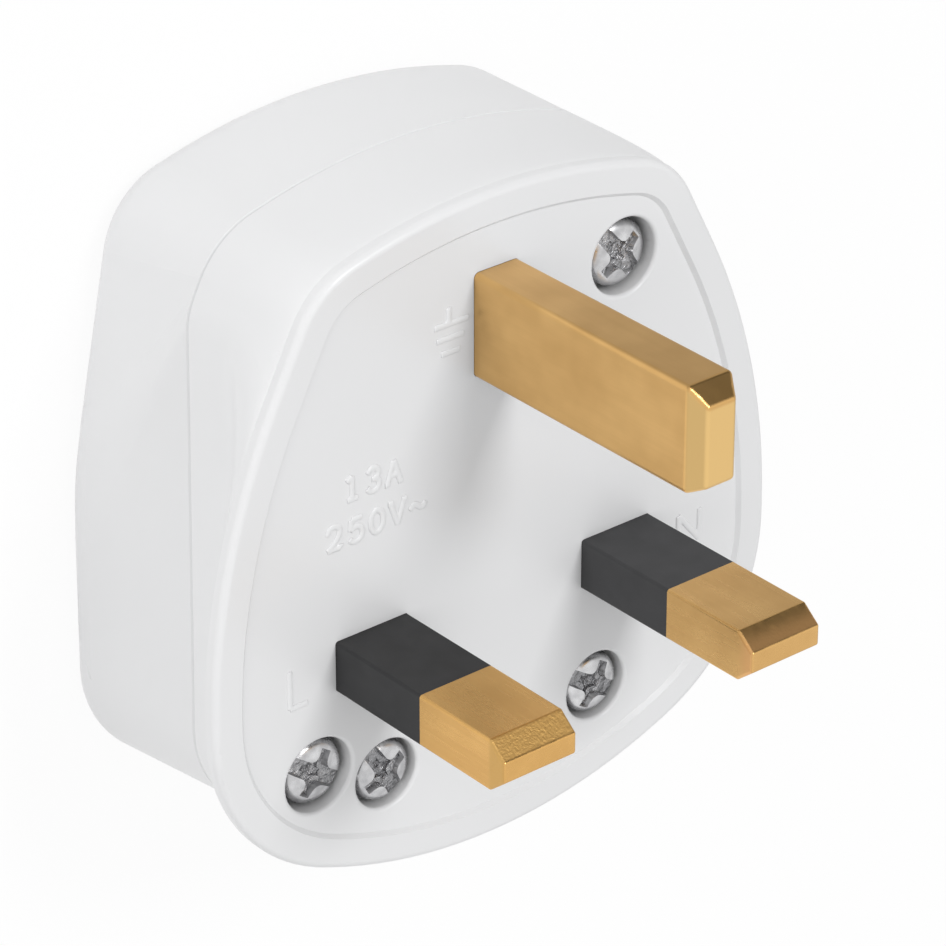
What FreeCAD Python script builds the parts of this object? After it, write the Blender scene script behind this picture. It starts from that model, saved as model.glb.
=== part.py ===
"""Rewirable 13 amp three pin plug, lying on its back with the pins up.

Millimetres. The origin is on the engagement face, midway between the earth pin and the line of the
other two pins. +Z runs out along the pins, +Y points to the earth pin and +X to the neutral pin.
"""
import math
import os

import FreeCAD
import Part

V = FreeCAD.Vector

# Pins
PIN_PITCH_X = 22.23
PIN_PITCH_Y = 22.23
LIVE_PIN_WIDTH = 6.35
LIVE_PIN_THICKNESS = 3.97
LIVE_PIN_LENGTH = 17.6
LIVE_TIP_LENGTH = 1.5
LIVE_TIP_DROP = 1.22
EARTH_PIN_WIDTH = 3.97
EARTH_PIN_HEIGHT = 7.92
EARTH_PIN_LENGTH = 22.4
EARTH_TIP_LENGTH = 1.3
EARTH_SIDE_DROP = 0.75
EARTH_UPPER_DROP = 1.3
EARTH_LOWER_DROP = 0.6
LIVE_EDGE_RADIUS = 0.22
EARTH_EDGE_RADIUS = 0.4
SLEEVE_LENGTH = 8.8
SLEEVE_WALL = 0.7
PIN_CLEARANCE = 0.02

# Moulded body, seen from the front
BODY_TOP = 21.3
TOP_SLOPE = 15.5
CROWN_RADIUS = 47.0
SHOULDER_RADIUS = 7.0
FLANGE_TOP = 20.9
FLANGE_OFFSET = 0.25
FLANGE_HALF_WIDTH = 25.2
FLANGE_HIP_HALF_WIDTH = 25.2
FLANGE_SHOULDER_X = 15.85
FLANGE_SIDE_LEAN = 27.0
FLANGE_SIDE_RADIUS = 51.0
FLANGE_HIP_RADIUS = 15.5
FLANGE_BOTTOM = -30.1
FLANGE_BELLY_SLOPE = 22.0
FLANGE_BELLY_RADIUS = 42.0
WAIST_HALF_WIDTH = 18.75
WAIST_HIP_HALF_WIDTH = 19.45
WAIST_SHOULDER_X = 16.2
WAIST_SIDE_LEAN = 27.0
WAIST_SIDE_RADIUS = 5.0
WAIST_HIP_RADIUS = 9.0
WAIST_BOTTOM = -29.8
WAIST_BELLY_SLOPE = 18.0
WAIST_BELLY_RADIUS = 38.0
REAR_HALF_WIDTH = 22.4
REAR_HIP_HALF_WIDTH = 22.3
REAR_SHOULDER_X = 17.4
REAR_SIDE_LEAN = 11.0
REAR_SIDE_RADIUS = 62.0
REAR_HIP_RADIUS = 9.0
REAR_BOTTOM = -29.6
REAR_BELLY_SLOPE = 18.0
REAR_BELLY_RADIUS = 38.0

# Moulded body, through its depth
BODY_DEPTH = 22.0
PARTING_DEPTH = 10.2
FLANGE_THICKNESS = 1.05
FLARE_HEIGHT = 5.3
FLARE_SWEEP = 80.0
FLARE_STEPS = 5
FRONT_WALL = 3.0
BACK_WALL = 2.2
SIDE_WALL = 2.2
RIM_WIDTH = 2.35
RIM_HEIGHT = 0.3
RIM_STEP_WIDTH = 0.3
RIM_EDGE_RADIUS = 0.55
REAR_EDGE_RADIUS = 2.2
PARTING_CHAMFER = 0.14
TONGUE_HEIGHT = 1.0
TONGUE_THICKNESS = 1.0
TONGUE_CLEARANCE = 0.1
SMALLEST_CORNER = 0.3
# Largest share of a straight run that the arcs at its two ends may take up
ARC_SHARE = 0.98
# How far apart two heights may be and still count as one
LEVEL_TOLERANCE = 1e-4

# Cover screws, their inserts and bosses
COVER_SCREW_UPPER = (11.6, 12.1)
COVER_SCREW_LOWER = (-15.85, -19.3)
COVER_RECESS_DIAMETER = 5.8
COVER_HEAD_DIAMETER = 5.1
COVER_HEAD_HEIGHT = 1.9
COVER_HEAD_DEPTH = 0.8
COVER_SHANK_DIAMETER = 3.2
COVER_SHANK_LENGTH = 12.5
COVER_POST_DIAMETER = 6.6
INSERT_DIAMETER = 4.6
INSERT_LENGTH = 7.5
BOSS_DIAMETER = 6.8

# Cord grip, its screws and the cord entry
GRIP_SCREW_LEFT = (-9.9, -21.5)
GRIP_SCREW_RIGHT = (9.5, -21.75)
GRIP_RECESS_DIAMETER = 5.4
GRIP_HEAD_DIAMETER = 4.8
GRIP_HEAD_HEIGHT = 1.7
GRIP_HEAD_DEPTH = 0.55
GRIP_SHANK_DIAMETER = 3.0
GRIP_SHANK_LENGTH = 10.2
GRIP_POST_DIAMETER = 5.6
GRIP_POST_TOP = 9.8
GRIP_WIDTH = 4.2
GRIP_THICKNESS = 3.2
GRIP_HOLLOW_DEPTH = 0.9
GRIP_HOLLOW_WIDTH = 10.0
RIDGE_HEIGHT = 1.2
RIDGE_WIDTH = 2.0
CORD_ENTRY_DIAMETER = 8.4
CORD_ENTRY_DEPTH = 9.0

# Screw drives and fits
SLOT_WIDTH = 1.0
SLOT_DEPTH = 0.9
CROSS_LENGTH = 3.5
HEAD_EDGE_RADIUS = 0.9
SCREW_CLEARANCE = 0.15
THREAD_CLEARANCE = 0.04
MOUTH_RADIUS = 0.3

# Terminals
TERMINAL_LENGTH = 8.4
TERMINAL_WIDTH = 6.4
TERMINAL_DEPTH = 8.0
WIRE_HOLE_DIAMETER = 3.4
TERMINAL_SHANK_DIAMETER = 3.2
TERMINAL_SHANK_LENGTH = 2.4
TERMINAL_HEAD_DIAMETER = 5.0
TERMINAL_HEAD_HEIGHT = 1.8
POCKET_WALL = 1.0
POCKET_HEIGHT = 2.2
POCKET_CLEARANCE = 0.1
LINE_PILLAR_X = -4.4
LINE_PILLAR_Y = 0.6
LINE_PLATE_DEPTH = 5.0
PLATE_GAP = 0.2

# Fuse and its clips
FUSE_LENGTH = 25.4
FUSE_CAP_DIAMETER = 6.35
FUSE_CAP_LENGTH = 5.5
FUSE_CAP_WALL = 0.4
FUSE_BORE = 3.4
FUSE_WIRE_DIAMETER = 0.4
FUSE_CENTRE_Y = -0.8
FUSE_LIFT = 1.0
CLIP_METAL = 0.5
CLIP_WIDTH = 4.6
CLIP_LIP_RISE = 1.6
CLIP_LIP_NIP = 0.25
CLIP_LIP_FLARE = 0.9
CLIP_CLEARANCE = 0.05
RIVET_DIAMETER = 2.0
RIVET_HEAD_DIAMETER = 3.2
RIVET_HEAD_HEIGHT = 0.7
RIVET_LENGTH = 3.0

# Places worked out from the sizes above
EARTH_Y = PIN_PITCH_Y / 2
LIVE_Y = -PIN_PITCH_Y / 2
NEUTRAL_X = PIN_PITCH_X / 2
LINE_X = -PIN_PITCH_X / 2
PANEL_Z = -RIM_HEIGHT
FLOOR_Z = -FRONT_WALL
PARTING_Z = -PARTING_DEPTH
REAR_Z = -BODY_DEPTH
TERMINAL_Z = FLOOR_Z - TERMINAL_DEPTH
LINE_PLATE_Z = FLOOR_Z - LINE_PLATE_DEPTH
CLIP_Z = LINE_PLATE_Z - CLIP_METAL
FUSE_RADIUS = FUSE_CAP_DIAMETER / 2
FUSE_Z = CLIP_Z - FUSE_LIFT - FUSE_RADIUS
COVER_SEAT_Z = -COVER_HEAD_DEPTH - COVER_HEAD_HEIGHT
GRIP_SEAT_Z = -GRIP_HEAD_DEPTH - GRIP_HEAD_HEIGHT
GRIP_Z = -GRIP_POST_TOP
COVER_SCREWS = (COVER_SCREW_UPPER, COVER_SCREW_LOWER)
GRIP_SCREWS = (GRIP_SCREW_LEFT, GRIP_SCREW_RIGHT)
GRIP_X = (GRIP_SCREW_LEFT[0] + GRIP_SCREW_RIGHT[0]) / 2
GRIP_Y = (GRIP_SCREW_LEFT[1] + GRIP_SCREW_RIGHT[1]) / 2
GRIP_SPAN = GRIP_SCREW_RIGHT[0] - GRIP_SCREW_LEFT[0]
LOWER_CAP_Y = FUSE_CENTRE_Y - FUSE_LENGTH / 2 + FUSE_CAP_LENGTH / 2
UPPER_CAP_Y = FUSE_CENTRE_Y + FUSE_LENGTH / 2 - FUSE_CAP_LENGTH / 2


# Outlines

def body_section(top, half_width, hip_half_width, shoulder_x, lean, side_radius, hip_radius,
                 bottom, belly_slope, belly_radius):
    """Corners (x, y, radius) of one outline of the body, clockwise from the top."""
    top_turn = math.radians(TOP_SLOPE)
    belly_turn = math.radians(belly_slope)
    crown_y = top + CROWN_RADIUS * (1 / math.cos(top_turn) - 1)
    belly_y = bottom - belly_radius * (1 / math.cos(belly_turn) - 1)
    shoulder_y = crown_y - math.tan(top_turn) * shoulder_x
    side_y = shoulder_y - (half_width - shoulder_x) / math.tan(math.radians(lean))
    hip_y = belly_y + math.tan(belly_turn) * hip_half_width
    right = [
        (shoulder_x, shoulder_y, SHOULDER_RADIUS),
        (half_width, side_y, side_radius),
        (hip_half_width, hip_y, hip_radius),
    ]
    left = [(-x, y, radius) for x, y, radius in reversed(right)]
    return [(0, crown_y, CROWN_RADIUS)] + right + [(0, belly_y, belly_radius)] + left


def shifted(corners, distance):
    """The same outline moved to the right."""
    return [(x + distance, y, radius) for x, y, radius in corners]


FLANGE = shifted(body_section(
    FLANGE_TOP, FLANGE_HALF_WIDTH, FLANGE_HIP_HALF_WIDTH, FLANGE_SHOULDER_X, FLANGE_SIDE_LEAN,
    FLANGE_SIDE_RADIUS, FLANGE_HIP_RADIUS, FLANGE_BOTTOM, FLANGE_BELLY_SLOPE,
    FLANGE_BELLY_RADIUS), FLANGE_OFFSET)
WAIST = body_section(
    BODY_TOP, WAIST_HALF_WIDTH, WAIST_HIP_HALF_WIDTH, WAIST_SHOULDER_X, WAIST_SIDE_LEAN,
    WAIST_SIDE_RADIUS, WAIST_HIP_RADIUS, WAIST_BOTTOM, WAIST_BELLY_SLOPE, WAIST_BELLY_RADIUS)
REAR = body_section(
    BODY_TOP, REAR_HALF_WIDTH, REAR_HIP_HALF_WIDTH, REAR_SHOULDER_X, REAR_SIDE_LEAN,
    REAR_SIDE_RADIUS, REAR_HIP_RADIUS, REAR_BOTTOM, REAR_BELLY_SLOPE, REAR_BELLY_RADIUS)


def between(first, second, share):
    """Outline part of the way from one outline to another."""
    return [
        tuple(a + (b - a) * share for a, b in zip(one, two))
        for one, two in zip(first, second)
    ]


def inset(corners, distance):
    """The same outline with every side moved inwards by a distance."""
    lines = []
    for start, end in zip(corners, corners[1:] + corners[:1]):
        dx, dy = end[0] - start[0], end[1] - start[1]
        length = math.hypot(dx, dy)
        inward = (dy / length * distance, -dx / length * distance)
        lines.append((start[0] + inward[0], start[1] + inward[1], dx, dy))
    moved = []
    for before, after, corner in zip(lines[-1:] + lines[:-1], lines, corners):
        cross = before[2] * after[3] - before[3] * after[2]
        gap_x, gap_y = after[0] - before[0], after[1] - before[1]
        along = (gap_x * after[3] - gap_y * after[2]) / cross
        x = before[0] + along * before[2]
        y = before[1] + along * before[3]
        moved.append((x, y, max(corner[2] - distance, SMALLEST_CORNER)))
    return moved


def outline_wire(corners, z):
    """Closed wire of straight runs and arcs round the corners, at a height."""
    points = [V(x, y, z) for x, y, _ in corners]
    count = len(points)
    reach = []
    for i, (_, _, radius) in enumerate(corners):
        arriving = (points[i] - points[i - 1]).normalize()
        leaving = (points[(i + 1) % count] - points[i]).normalize()
        reach.append(radius * math.tan(arriving.getAngle(leaving) / 2))
    fitted = []
    for i in range(count):
        before = (points[i] - points[i - 1]).Length / (reach[i] + reach[i - 1])
        after = (points[(i + 1) % count] - points[i]).Length / (reach[i] + reach[(i + 1) % count])
        fitted.append(reach[i] * min(1, ARC_SHARE * before, ARC_SHARE * after))
    starts, middles, ends = [], [], []
    for i, point in enumerate(points):
        arriving = (point - points[i - 1]).normalize()
        leaving = (points[(i + 1) % count] - point).normalize()
        half_turn = arriving.getAngle(leaving) / 2
        radius = fitted[i] / math.tan(half_turn)
        inward = (leaving - arriving).normalize()
        starts.append(point - arriving * fitted[i])
        ends.append(point + leaving * fitted[i])
        middles.append(point + inward * (radius / math.cos(half_turn) - radius))
    edges = []
    for i in range(count):
        edges.append(Part.Arc(starts[i], middles[i], ends[i]).toShape())
        edges.append(Part.makeLine(ends[i], starts[(i + 1) % count]))
    return Part.Wire(edges)


def prism(corners, low, high):
    """Solid of one outline between two heights."""
    return Part.Face(outline_wire(corners, low)).extrude(V(0, 0, high - low))


def loft(levels, ruled=False):
    """Solid through a list of (outline, height)."""
    return Part.makeLoft([outline_wire(corners, z) for corners, z in levels], True, ruled)


def box(centre_x, centre_y, size_x, size_y, low, high):
    """Upright block about a centre."""
    corner = V(centre_x - size_x / 2, centre_y - size_y / 2, low)
    return Part.makeBox(size_x, size_y, high - low, corner)


def rod(x, y, diameter, low, high):
    """Upright cylinder."""
    return Part.makeCylinder(diameter / 2, high - low, V(x, y, low))


def edges_at(shape, z):
    """Edges of a shape that lie flat at one height."""
    return [e for e in shape.Edges if all(abs(v.Z - z) < LEVEL_TOLERANCE for v in e.Vertexes)
            and abs(e.BoundBox.ZLength) < LEVEL_TOLERANCE]


# Moulded body

def base_outside():
    """Front moulding before it is hollowed: waist, flare and flange."""
    flare_top = -FLANGE_THICKNESS
    flare_low = flare_top - FLARE_HEIGHT
    sweep = math.radians(FLARE_SWEEP)
    levels = []
    for step in range(FLARE_STEPS + 1):
        turn = sweep * step / FLARE_STEPS
        share = (1 - math.cos(turn)) / (1 - math.cos(sweep))
        rise = FLARE_HEIGHT * math.sin(turn) / math.sin(sweep)
        levels.append((between(WAIST, FLANGE, share), flare_low + rise))
    chamfer_z = PARTING_Z + PARTING_CHAMFER
    lead = loft([(inset(WAIST, PARTING_CHAMFER), PARTING_Z), (WAIST, chamfer_z)], True)
    flange = prism(FLANGE, flare_top, 0)
    flange = flange.makeFillet(RIM_EDGE_RADIUS, edges_at(flange, 0))
    return lead.multiFuse([prism(WAIST, chamfer_z, flare_low), loft(levels), flange])


def pocket(x, y, size_x, size_y):
    """Low moulded wall that locates a terminal block on the floor."""
    grow = 2 * POCKET_CLEARANCE
    outer = box(x, y, size_x + grow + 2 * POCKET_WALL, size_y + grow + 2 * POCKET_WALL,
                FLOOR_Z - POCKET_HEIGHT, FLOOR_Z)
    inner = box(x, y, size_x + grow, size_y + grow, FLOOR_Z - POCKET_HEIGHT, FLOOR_Z)
    return outer.cut(inner)


def tongue_ring(clearance):
    """Ring that keys the two mouldings together at the parting line, grown by a clearance."""
    outer = SIDE_WALL - TONGUE_THICKNESS - clearance
    inner = SIDE_WALL + clearance
    low = PARTING_Z - TONGUE_HEIGHT - clearance
    return prism(inset(WAIST, outer), low, PARTING_Z).cut(prism(inset(WAIST, inner), low, PARTING_Z))


def cord_entry():
    """Round cord hole through the bottom wall, on both sides of the parting line."""
    depth = abs(FLANGE_BOTTOM) - abs(GRIP_Y)
    return Part.makeCylinder(
        CORD_ENTRY_DIAMETER / 2, depth, V(0, FLANGE_BOTTOM, -CORD_ENTRY_DEPTH), V(0, 1, 0))


def pin_hole(x, y, size_x, size_y, edge_radius):
    """Hole through the front wall that follows the rounded section of a pin."""
    grow = 2 * PIN_CLEARANCE
    hole = box(x, y, size_x + grow, size_y + grow, FLOOR_Z, 0)
    upright = [e for e in hole.Edges if e.BoundBox.ZLength > LEVEL_TOLERANCE]
    return hole.makeFillet(edge_radius + PIN_CLEARANCE, upright)


def make_base():
    """Front moulding with its pin holes, screw recesses, posts, pockets and cord ridge."""
    outside = base_outside()
    shell = outside.cut(prism(inset(WAIST, SIDE_WALL), PARTING_Z, FLOOR_Z))
    posts = [rod(x, y, COVER_POST_DIAMETER, PARTING_Z, FLOOR_Z) for x, y in COVER_SCREWS]
    posts += [rod(x, y, GRIP_POST_DIAMETER, GRIP_Z, FLOOR_Z) for x, y in GRIP_SCREWS]
    posts += [
        pocket(0, EARTH_Y, TERMINAL_WIDTH, TERMINAL_LENGTH),
        pocket(NEUTRAL_X, LIVE_Y, TERMINAL_LENGTH, TERMINAL_WIDTH),
        pocket(LINE_X, LIVE_Y, TERMINAL_LENGTH, TERMINAL_WIDTH),
        box(0, GRIP_Y, CORD_ENTRY_DIAMETER, RIDGE_WIDTH, FLOOR_Z - RIDGE_HEIGHT, FLOOR_Z),
    ]
    core = prism(inset(WAIST, PARTING_CHAMFER), PARTING_Z, FLOOR_Z)
    shell = shell.multiFuse([post.common(core) for post in posts])
    tongue = tongue_ring(0)
    for x, y in COVER_SCREWS:
        tongue = tongue.cut(rod(x, y, BOSS_DIAMETER, PARTING_Z - TONGUE_HEIGHT, PARTING_Z))
    shell = shell.fuse(tongue)
    step_foot = inset(FLANGE, RIM_WIDTH + RIM_STEP_WIDTH)
    panel = loft([(step_foot, PANEL_Z), (inset(FLANGE, RIM_WIDTH), 0)], True)
    cuts = [panel, cord_entry()]
    cuts.append(pin_hole(0, EARTH_Y, EARTH_PIN_WIDTH, EARTH_PIN_HEIGHT, EARTH_EDGE_RADIUS))
    for x in (LINE_X, NEUTRAL_X):
        cuts.append(pin_hole(x, LIVE_Y, LIVE_PIN_WIDTH, LIVE_PIN_THICKNESS, LIVE_EDGE_RADIUS))
    for x, y in COVER_SCREWS:
        cuts.append(rod(x, y, COVER_RECESS_DIAMETER, COVER_SEAT_Z, 0))
        cuts.append(rod(x, y, COVER_SHANK_DIAMETER + 2 * SCREW_CLEARANCE, PARTING_Z, 0))
    for x, y in GRIP_SCREWS:
        cuts.append(rod(x, y, GRIP_RECESS_DIAMETER, GRIP_SEAT_Z, 0))
        cuts.append(rod(x, y, GRIP_SHANK_DIAMETER + 2 * SCREW_CLEARANCE, PARTING_Z, 0))
    base = shell.cut(cuts).removeSplitter()
    mouths = [e for e in edges_at(base, PANEL_Z) if e.isClosed()]
    return base.makeFillet(MOUTH_RADIUS, mouths)


def make_cover():
    """Rear moulding with its grip scoops, screw bosses and tongue groove."""
    chamfer_z = PARTING_Z - PARTING_CHAMFER
    body = loft([(REAR, REAR_Z), (WAIST, chamfer_z)], True)
    body = body.makeFillet(REAR_EDGE_RADIUS, edges_at(body, REAR_Z))
    lead = loft([(WAIST, chamfer_z), (inset(WAIST, PARTING_CHAMFER), PARTING_Z)], True)
    outside = body.fuse(lead)
    back_z = REAR_Z + BACK_WALL
    hollow = loft([(inset(REAR, SIDE_WALL), back_z), (inset(WAIST, SIDE_WALL), PARTING_Z)], True)
    cover = outside.cut(hollow)
    bosses = [rod(x, y, BOSS_DIAMETER, back_z, PARTING_Z).common(outside) for x, y in COVER_SCREWS]
    cover = cover.multiFuse(bosses)
    cuts = [tongue_ring(TONGUE_CLEARANCE), cord_entry()]
    for x, y in COVER_SCREWS:
        tip = COVER_SEAT_Z - COVER_SHANK_LENGTH - SCREW_CLEARANCE
        cuts.append(rod(x, y, INSERT_DIAMETER, PARTING_Z - INSERT_LENGTH, PARTING_Z))
        cuts.append(rod(x, y, COVER_SHANK_DIAMETER + 2 * SCREW_CLEARANCE, tip, PARTING_Z))
    return cover.cut(cuts).removeSplitter()


# Pins and sleeves

def tapered_tip(x, y, size_x, size_y, side_drop, upper_drop, lower_drop, low, high):
    """Blunt tip that narrows from a full section to a smaller nose."""
    def rectangle(half_x, below, above, z):
        corners = [(-half_x, -below), (half_x, -below), (half_x, above), (-half_x, above)]
        return Part.makePolygon([V(x + dx, y + dy, z) for dx, dy in corners + corners[:1]])
    half_y = size_y / 2
    foot = rectangle(size_x / 2, half_y, half_y, low)
    nose = rectangle(size_x / 2 - side_drop, half_y - lower_drop, half_y - upper_drop, high)
    return Part.makeLoft([foot, nose], True, True)


def pin_form(x, y, size_x, size_y, side_drop, upper_drop, lower_drop, tip_length, length,
             edge_radius):
    """Outside form of a pin from the floor to its tip, with its edges rounded."""
    shoulder = length - tip_length
    blade = box(x, y, size_x, size_y, FLOOR_Z, shoulder)
    tip = tapered_tip(
        x, y, size_x, size_y, side_drop, upper_drop, lower_drop, shoulder, length)
    pin = blade.fuse(tip).removeSplitter()
    foot = edges_at(pin, FLOOR_Z)
    rounded = [e for e in pin.Edges if not any(e.isSame(low) for low in foot)]
    return pin.makeFillet(edge_radius, rounded)


def terminal_block(x, y, size_x, size_y, low):
    """Block inside the plug with a wire hole along Y and a tapped hole from behind."""
    block = box(x, y, size_x, size_y, low, FLOOR_Z)
    hole_z = (low + FLOOR_Z) / 2
    wire = Part.makeCylinder(
        WIRE_HOLE_DIAMETER / 2, size_y, V(x, y - size_y / 2, hole_z), V(0, 1, 0))
    tapped = rod(x, y, TERMINAL_SHANK_DIAMETER + 2 * THREAD_CLEARANCE, low, hole_z)
    return block.cut([wire, tapped])


def make_earth_pin():
    """Solid earth pin with its terminal block."""
    pin = pin_form(
        0, EARTH_Y, EARTH_PIN_WIDTH, EARTH_PIN_HEIGHT, EARTH_SIDE_DROP, EARTH_UPPER_DROP,
        EARTH_LOWER_DROP, EARTH_TIP_LENGTH, EARTH_PIN_LENGTH, EARTH_EDGE_RADIUS)
    block = terminal_block(0, EARTH_Y, TERMINAL_WIDTH, TERMINAL_LENGTH, TERMINAL_Z)
    return pin.fuse(block).removeSplitter()


def live_form(x):
    """Outside form shared by the brass and the sleeve of a sleeved pin."""
    return pin_form(
        x, LIVE_Y, LIVE_PIN_WIDTH, LIVE_PIN_THICKNESS, 0, LIVE_TIP_DROP,
        LIVE_TIP_DROP, LIVE_TIP_LENGTH, LIVE_PIN_LENGTH, LIVE_EDGE_RADIUS)


def live_stem(x):
    """Thinner stem that carries the sleeve."""
    return box(x, LIVE_Y, LIVE_PIN_WIDTH - 2 * SLEEVE_WALL, LIVE_PIN_THICKNESS - 2 * SLEEVE_WALL,
               FLOOR_Z, SLEEVE_LENGTH)


def live_blade(x):
    """Brass of a sleeved pin: a full-size end on a thinner stem."""
    end = box(x, LIVE_Y, LIVE_PIN_WIDTH, LIVE_PIN_THICKNESS, SLEEVE_LENGTH, LIVE_PIN_LENGTH)
    return live_form(x).common(end).fuse(live_stem(x)).removeSplitter()


def make_neutral_pin():
    """Neutral pin with its terminal block."""
    block = terminal_block(NEUTRAL_X, LIVE_Y, TERMINAL_LENGTH, TERMINAL_WIDTH, TERMINAL_Z)
    return live_blade(NEUTRAL_X).fuse(block).removeSplitter()


def make_line_pin():
    """Line pin with the block that carries a fuse clip."""
    block = box(LINE_X, LIVE_Y, TERMINAL_LENGTH, TERMINAL_WIDTH, LINE_PLATE_Z, FLOOR_Z)
    pin = live_blade(LINE_X).fuse(block)
    return pin.cut(rivet_hole(LOWER_CAP_Y)).removeSplitter()


def make_sleeve(x):
    """Insulating sleeve moulded round the stem of a pin, flush with the brass."""
    span = box(x, LIVE_Y, LIVE_PIN_WIDTH, LIVE_PIN_THICKNESS, FLOOR_Z, SLEEVE_LENGTH)
    return live_form(x).common(span).cut(live_stem(x))


# Line terminal, fuse and clips

def rivet_hole(y):
    """Hole for a clip rivet."""
    return rod(LINE_X, y, RIVET_DIAMETER, CLIP_Z - RIVET_LENGTH, CLIP_Z + RIVET_LENGTH)


def make_line_terminal():
    """Line terminal: a plate under the upper fuse clip and a pillar for the wire."""
    right = LINE_PILLAR_X + TERMINAL_WIDTH / 2
    seat_low = UPPER_CAP_Y - TERMINAL_WIDTH / 2
    seat_high = UPPER_CAP_Y + TERMINAL_WIDTH / 2
    arm = -TERMINAL_WIDTH / 2 - POCKET_CLEARANCE - POCKET_WALL - PLATE_GAP
    pillar_low = LINE_PILLAR_Y - TERMINAL_WIDTH / 2
    pillar_high = LINE_PILLAR_Y + TERMINAL_WIDTH / 2
    left = LINE_PILLAR_X - TERMINAL_WIDTH / 2
    seat_left = LINE_X - TERMINAL_LENGTH / 2
    shape = [
        (seat_left, seat_low), (seat_left, seat_high), (arm, seat_high), (arm, pillar_high),
        (right, pillar_high), (right, pillar_low), (left, pillar_low), (left, seat_low),
    ]
    ring = Part.makePolygon([V(x, y, LINE_PLATE_Z) for x, y in shape + shape[:1]])
    plate = Part.Face(ring).extrude(V(0, 0, LINE_PLATE_DEPTH))
    pillar = terminal_block(
        LINE_PILLAR_X, LINE_PILLAR_Y, TERMINAL_WIDTH, TERMINAL_WIDTH, TERMINAL_Z)
    wire = Part.makeCylinder(WIRE_HOLE_DIAMETER / 2, TERMINAL_WIDTH,
                             V(LINE_PILLAR_X, pillar_low, (TERMINAL_Z + FLOOR_Z) / 2), V(0, 1, 0))
    return plate.cut(wire).fuse(pillar).cut(rivet_hole(UPPER_CAP_Y)).removeSplitter()


def make_clip(y):
    """Spring clip, a bent strip that grips a fuse cap from both sides."""
    inner = FUSE_RADIUS + CLIP_CLEARANCE
    lip_z = FUSE_Z - CLIP_LIP_RISE
    end_z = lip_z - CLIP_LIP_FLARE
    half = [
        (inner, CLIP_Z), (inner, FUSE_Z), (inner - CLIP_LIP_NIP, lip_z),
        (inner + CLIP_LIP_FLARE - CLIP_LIP_NIP, end_z),
    ]
    back = [(x + CLIP_METAL, z) for x, z in reversed(half[1:])]
    half = half + back + [(inner + CLIP_METAL, LINE_PLATE_Z)]
    ring = half + [(-x, z) for x, z in reversed(half)]
    start = y - CLIP_WIDTH / 2
    wire = Part.makePolygon([V(LINE_X + x, start, z) for x, z in ring + ring[:1]])
    return Part.Face(wire).extrude(V(0, CLIP_WIDTH, 0)).cut(rivet_hole(y))


def make_rivets():
    """Rivets that hold the clips to the line pin and the line terminal."""
    rivets = []
    for y in (LOWER_CAP_Y, UPPER_CAP_Y):
        shank = rod(LINE_X, y, RIVET_DIAMETER, CLIP_Z, CLIP_Z + RIVET_LENGTH)
        head = rod(LINE_X, y, RIVET_HEAD_DIAMETER, CLIP_Z - RIVET_HEAD_HEIGHT, CLIP_Z)
        rivets.append(shank.fuse(head).removeSplitter())
    return Part.makeCompound(rivets)


def fuse_rod(diameter, start, length):
    """Cylinder along the fuse."""
    return Part.makeCylinder(diameter / 2, length, V(LINE_X, start, FUSE_Z), V(0, 1, 0))


def fuse_core(diameter):
    """Cylinder between the end walls of the two fuse caps."""
    start = FUSE_CENTRE_Y - FUSE_LENGTH / 2 + FUSE_CAP_WALL
    return fuse_rod(diameter, start, FUSE_LENGTH - 2 * FUSE_CAP_WALL)


def make_fuse_barrel():
    """Ceramic tube of the fuse."""
    return fuse_core(FUSE_CAP_DIAMETER - 2 * FUSE_CAP_WALL).cut(fuse_core(FUSE_BORE))


def make_fuse_cap(end_y, inwards):
    """Cup pressed over one end of the fuse barrel."""
    start = min(end_y, end_y + inwards * FUSE_CAP_LENGTH)
    cup = fuse_rod(FUSE_CAP_DIAMETER, start, FUSE_CAP_LENGTH)
    return cup.cut(fuse_core(FUSE_CAP_DIAMETER - 2 * FUSE_CAP_WALL))


# Screws, inserts and cord grip

def pan_screw(x, y, head_top, head_diameter, head_height, shank_diameter, shank_length):
    """Pan head screw with a slot and a cross recess, its shank pointing to -Z."""
    seat = head_top - head_height
    head = rod(x, y, head_diameter, seat, head_top)
    head = head.makeFillet(HEAD_EDGE_RADIUS, edges_at(head, head_top))
    slot = box(x, y, head_diameter, SLOT_WIDTH, head_top - SLOT_DEPTH, head_top)
    cross = box(x, y, SLOT_WIDTH, CROSS_LENGTH, head_top - SLOT_DEPTH, head_top)
    shank = rod(x, y, shank_diameter, seat - shank_length, seat)
    return head.cut([slot, cross]).fuse(shank).removeSplitter()


def make_cover_screws():
    """Two screws that pass through the base into the cover."""
    return Part.makeCompound([
        pan_screw(x, y, -COVER_HEAD_DEPTH, COVER_HEAD_DIAMETER, COVER_HEAD_HEIGHT,
                  COVER_SHANK_DIAMETER, COVER_SHANK_LENGTH) for x, y in COVER_SCREWS])


def make_grip_screws():
    """Two screws that draw the cord grip down."""
    return Part.makeCompound([
        pan_screw(x, y, -GRIP_HEAD_DEPTH, GRIP_HEAD_DIAMETER, GRIP_HEAD_HEIGHT,
                  GRIP_SHANK_DIAMETER, GRIP_SHANK_LENGTH) for x, y in GRIP_SCREWS])


def make_inserts():
    """Brass bushes moulded into the cover for its screws."""
    bushes = []
    for x, y in COVER_SCREWS:
        bush = rod(x, y, INSERT_DIAMETER, PARTING_Z - INSERT_LENGTH, PARTING_Z)
        bore = COVER_SHANK_DIAMETER + 2 * THREAD_CLEARANCE
        bushes.append(bush.cut(rod(x, y, bore, PARTING_Z - INSERT_LENGTH, PARTING_Z)))
    return Part.makeCompound(bushes)


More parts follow.
